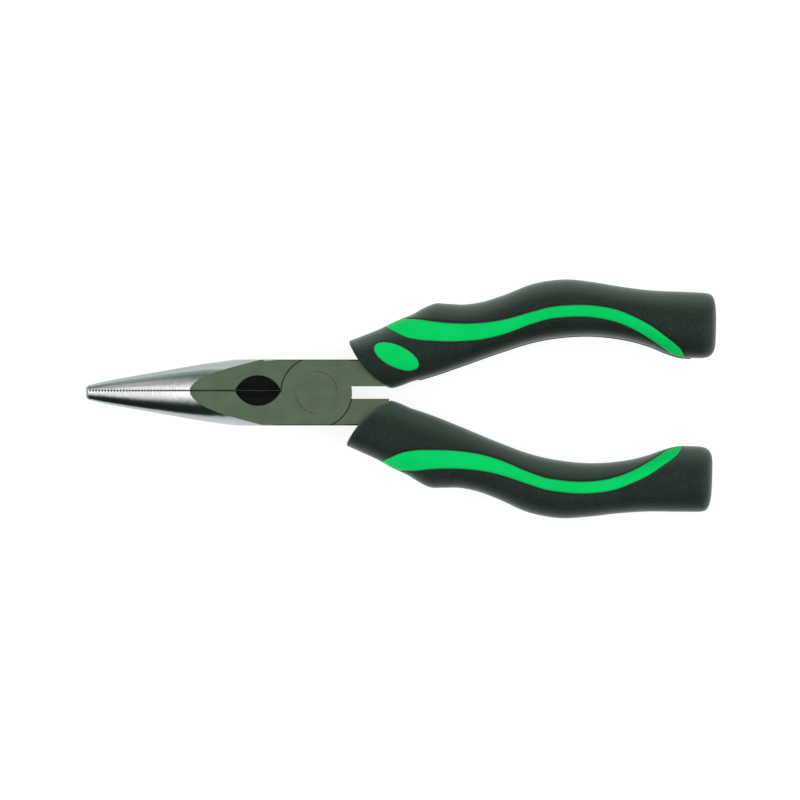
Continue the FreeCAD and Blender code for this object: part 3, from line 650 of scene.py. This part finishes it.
def badge_rings(grow, lifts, shares):
    """Oval rings that follow the collar's skin, each a share of the oval's size at its own lift."""
    turn = np.linspace(0, 2 * math.pi, 96, endpoint=False)
    rings = []
    for share, lift in zip(shares, lifts):
        along = (badge_half[0] + grow) * share * np.cos(turn)
        across = (badge_half[1] + grow) * share * np.sin(turn)
        x = badge_at[0] + along * math.cos(badge_tilt) - across * math.sin(badge_tilt)
        y = badge_at[1] + along * math.sin(badge_tilt) + across * math.cos(badge_tilt)
        rings.append(skin(x, turn_at(x, y), np.full_like(x, lift)))
    return np.array(rings)


def apply_modifiers(piece):
    """Replace the piece's mesh by what its modifiers make of it."""
    bpy.context.view_layer.update()
    evaluated = piece.evaluated_get(bpy.context.evaluated_depsgraph_get())
    made = bpy.data.meshes.new_from_object(evaluated)
    piece.modifiers.clear()
    piece.data = made


shares = (0.02, 0.3, 0.55, 0.75, 0.88, 0.95, 0.985, 1.0, 1.0, 0.5, 0.02)
lifts = (0.18, 0.18, 0.17, 0.15, 0.11, 0.05, -0.03, -0.14, -0.9, -0.9, -0.9)
points, faces = closed_rings(to_frame(badge_rings(0.0, lifts, shares), 1), False)
badge = new_piece("badge_oval", points, faces, green_finish, 50)
pocket_shape = badge_rings(pocket_clearance, (1.5, 1.5, -0.95, -0.95), (0.02, 1.0, 1.0, 0.02))
points, faces = closed_rings(to_frame(pocket_shape, 1), False)
pocket = new_piece("badge_pocket", points, faces, green_finish)
cut = covers["upper"].modifiers.new("pocket", "BOOLEAN")
cut.operation = "DIFFERENCE"
cut.object = pocket
cut.solver = "EXACT"
apply_modifiers(covers["upper"])
bpy.data.objects.remove(pocket)
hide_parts("badge_front")
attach(badge, "front_half")
for side, (sign, body) in sides.items():
    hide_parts(f"{side}_grip_cover")
    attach(covers[side], body)

# ---- Beads -------------------------------------------------------------------------------------------------
# Fine moulded beads: a dark brownish line round every inlay and the badge, along the fine groove, and a
# parting bead along the inner side of the upper grip, whose pale colour is a painted highlight. Each is a
# round cord laid along its path.

dark_line_radius = 0.11
parting_radius = 0.30
parting_start = 26.0
parting_end = 95.0
cord_step = 0.3
cord_sides = 8
line_lift = -0.06                  # of a dark line's middle, from the cover's skin


def cord_nodes():
    """Geometry nodes: a round cord of a given radius along a path, evenly stepped."""
    tree = bpy.data.node_groups.new("cord_along_path", "GeometryNodeTree")
    kinds = {"Path": "Geometry", "Radius": "Float", "Step": "Float", "Sides": "Int", "Finish": "Material"}
    for name, kind in kinds.items():
        tree.interface.new_socket(name, in_out="INPUT", socket_type=f"NodeSocket{kind}")
    tree.interface.new_socket("Cord", in_out="OUTPUT", socket_type="NodeSocketGeometry")
    given = tree.nodes.new("NodeGroupInput").outputs
    line = add(tree, "GeometryNodeMeshToCurve", sockets={"Mesh": given["Path"]}).outputs[0]
    even = add(tree, "GeometryNodeResampleCurve", mode="LENGTH",
               sockets={"Curve": line, "Length": given["Step"]})
    ring = add(tree, "GeometryNodeCurvePrimitiveCircle",
               sockets={"Resolution": given["Sides"], "Radius": given["Radius"]})
    cord = add(tree, "GeometryNodeCurveToMesh",
               sockets={"Curve": even.outputs[0], "Profile Curve": ring.outputs[0], "Fill Caps": True})
    real = add(tree, "GeometryNodeRealizeInstances", sockets={"Geometry": cord.outputs[0]})
    smooth = add(tree, "GeometryNodeSetShadeSmooth", sockets={"Geometry": real.outputs[0]})
    done = add(tree, "GeometryNodeSetMaterial",
               sockets={"Geometry": smooth.outputs[0], "Material": given["Finish"]})
    tree.links.new(done.outputs[0], tree.nodes.new("NodeGroupOutput").inputs["Cord"])
    return tree


def lay_cord(name, paths, radius, finish):
    """Cord along open or closed paths, turned into a plain mesh."""
    points, edges = [], []
    for path, closed in paths:
        first = len(points)
        points += path.tolist()
        edges += [(first + number, first + number + 1) for number in range(len(path) - 1)]
        if closed:
            edges.append((len(points) - 1, first))
    mesh = bpy.data.meshes.new(name)
    mesh.from_pydata(points, edges, [])
    piece = bpy.data.objects.new(name, mesh)
    bpy.context.scene.collection.objects.link(piece)
    laid = piece.modifiers.new("cord", "NODES")
    laid.node_group = cord_group
    amounts = {"Radius": radius * MM, "Step": cord_step * MM, "Sides": cord_sides, "Finish": finish}
    for item in cord_group.interface.items_tree:
        if item.in_out == "INPUT" and item.name in amounts:
            laid[item.identifier] = amounts[item.name]
    apply_modifiers(piece)
    return piece


def cord_finish(name, dark, light):
    material, tree, shader = node_material(name)
    grain = noise(tree, place_about(tree, pivot), 1500.0, 3.0)
    tree.links.new(mix_colour(tree, grain, dark, light), shader.inputs["Base Color"])
    rough = math_node(tree, "ADD", 0.4, math_node(tree, "MULTIPLY", grain, 0.2))
    tree.links.new(rough, shader.inputs["Roughness"])
    tree.links.new(bump(tree, grain, 0.02 * MM, 0.4), shader.inputs["Normal"])
    return material


def swoosh_path():
    """Closed path round the swoosh, on the cover's skin."""
    there = stripe_start + 0.1 + (stripe_end - stripe_start - 0.2) * np.linspace(0, 1, 240)
    out = skin(there, turn_at(there, through(stripe_outer, there)), np.full_like(there, line_lift))
    back = skin(there, turn_at(there, through(stripe_inner, there)), np.full_like(there, line_lift))
    return np.concatenate([out, back[::-1]])


cord_group = cord_nodes()
dark_line_finish = cord_finish("dark_line", (0.012, 0.012, 0.006, 1.0), (0.040, 0.034, 0.014, 1.0))
# Pale colour of the parting bead: painted highlight along the grip's inner rim.
painted_highlight_bead_finish = cord_finish("parting_bead_painted_highlight", (0.050, 0.066, 0.060, 1.0), (0.085, 0.105, 0.100, 1.0))
swoosh = swoosh_path()
badge_path = badge_rings(0.0, (line_lift,), (1.012,))[0]
edge_run = np.linspace(parting_start, parting_end, 200)
middle, half, _ = section(edge_run)
edge_path = np.stack([edge_run, middle - half + 0.06, 0 * edge_run], -1)
for side, (sign, body) in sides.items():
    paths = [(to_frame(swoosh * np.array((1, 1, up)), sign), True) for up in (1, -1)]
    if side == "upper":
        paths.append((to_frame(badge_path, sign), True))
        bead = lay_cord("parting_bead_painted_highlight", [(to_frame(edge_path, sign), False)], parting_radius, painted_highlight_bead_finish)
        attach(bead, body)
    line = lay_cord(f"{side}_dark_line", paths, dark_line_radius, dark_line_finish)
    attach(line, body)

# ---- Stage -------------------------------------------------------------------------------------------------
# White floor that gives off its own light, under softboxes: a broad panel overhead, stronger ones beyond the
# tip and beyond the handles, dimmer ones on the far side, and none on the near side.


def floor_white():
    material, tree, shader = node_material("floor_white")
    grain = noise(tree, place_about(tree, (0, 0, 0)), 40.0, 3.0)
    colour = mix_colour(tree, grain, (0.24, 0.24, 0.24, 1.0), (0.27, 0.27, 0.27, 1.0))
    tree.links.new(colour, shader.inputs["Base Color"])
    shader.inputs["Roughness"].default_value = 0.9
    shader.inputs["Emission Color"].default_value = (1.0, 1.0, 1.0, 1.0)
    shader.inputs["Emission Strength"].default_value = 0.84
    return material


floor_half = 3.0
corners = [(x * floor_half, y * floor_half, 0) for x, y in ((-1, -1), (1, -1), (1, 1), (-1, 1))]
floor = new_piece("floor", corners, [(0, 1, 2, 3)], floor_white())
floor.location.z = -0.0001

world = bpy.data.worlds.new("studio")
bpy.context.scene.world = world
world.use_nodes = True
sky = world.node_tree
direction = add(sky, "ShaderNodeTexCoord").outputs["Generated"]
# Softboxes as patches of the sky: tilt from overhead, bearing from +X, inner and outer angle, brightness.
softboxes = {
    "overhead": (5, -90, 15, 36, 1.0),
    "far_high": (32, 90, 8, 32, 0.40),
    "far_mid": (60, 90, 8, 32, 0.32),
    "far_low": (88, 90, 8, 32, 0.55),
    "left": (62, 180, 20, 50, 1.9),
    "right": (62, 0, 20, 50, 2.2),
}
room = 0.02
total = room
for name, (tilt, bearing, inner, outer, brightness) in softboxes.items():
    tilt, bearing = math.radians(tilt), math.radians(bearing)
    towards = (math.sin(tilt) * math.cos(bearing), math.sin(tilt) * math.sin(bearing), math.cos(tilt))
    along = add(sky, "ShaderNodeVectorMath", operation="DOT_PRODUCT", sockets={0: direction, 1: towards})
    rim, full = math.cos(math.radians(outer)), math.cos(math.radians(inner))
    patch = soft_step(sky, along.outputs["Value"], rim, full)
    part = math_node(sky, "MULTIPLY", patch, brightness)
    part.node.name = name
    total = math_node(sky, "ADD", total, part)
background = sky.nodes["Background"]
sky.links.new(total, background.inputs["Color"])
background.inputs["Strength"].default_value = 1.0

lens = bpy.data.cameras.new("camera")
lens.lens = 500
lens.sensor_width = 36
lens.clip_start = 0.1
camera = bpy.data.objects.new("camera", lens)
view_width = 203.5 * MM
face_height = pivot.z + head_half_thickness
distance = view_width * lens.lens / lens.sensor_width
camera.location = (pivot.x + 21.24 * MM, pivot.y - 1.91 * MM, face_height + distance)
bpy.context.scene.collection.objects.link(camera)
bpy.context.scene.camera = camera
bpy.context.scene.view_settings.view_transform = "Standard"
